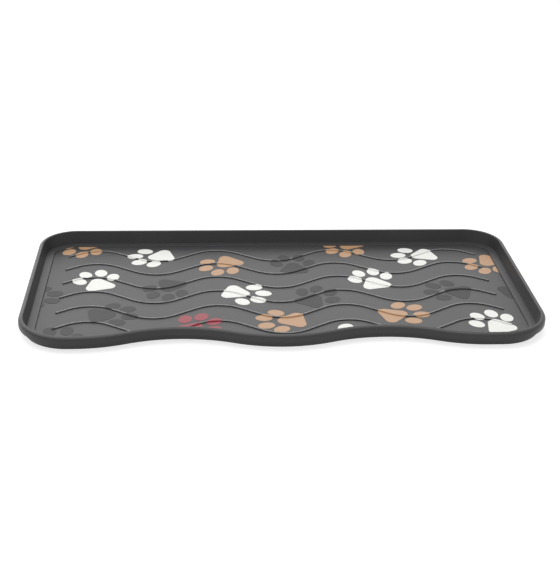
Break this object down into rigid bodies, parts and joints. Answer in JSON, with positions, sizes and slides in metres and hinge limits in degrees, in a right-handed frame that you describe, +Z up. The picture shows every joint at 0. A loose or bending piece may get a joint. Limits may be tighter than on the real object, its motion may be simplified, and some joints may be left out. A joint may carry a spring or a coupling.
{
  "type": "pet tray",
  "caption": "Shallow rectangular pet tray with a raised rim, a wavy front edge, wave ribs and printed paw marks on its floor.",
  "frame": {"origin": "middle of the tray's overall length and depth, on the ground plane under its floor", "axes": "+X along the long side, +Y from the wavy front edge to the straight rear edge, +Z up"},
  "size_m": [0.75, 0.38, 0.024],
  "materials": {
    "tray_plastic": "satin grain",
    "ink_white": "printed satin",
    "ink_gold": "printed satin",
    "ink_red": "printed satin",
    "ink_dark_grey": "printed satin"
  },
  "bodies": {
    "root": {"tray_shell": "tray_plastic", "paw_white_1": "ink_white", "paw_white_2": "ink_white", "paw_white_3": "ink_white", "paw_white_4": "ink_white", "paw_white_5": "ink_white", "paw_white_6": "ink_white", "paw_white_7": "ink_white", "paw_gold_1": "ink_gold", "paw_gold_2": "ink_gold", "paw_gold_3": "ink_gold", "paw_gold_4": "ink_gold", "paw_gold_5": "ink_gold", "paw_gold_6": "ink_gold", "paw_red_1": "ink_red", "paw_grey_1": "ink_dark_grey", "paw_grey_2": "ink_dark_grey", "paw_grey_3": "ink_dark_grey", "paw_grey_4": "ink_dark_grey", "paw_grey_5": "ink_dark_grey", "paw_grey_6": "ink_dark_grey", "paw_grey_7": "ink_dark_grey", "paw_grey_8": "ink_dark_grey"}
  },
  "joints": []
}
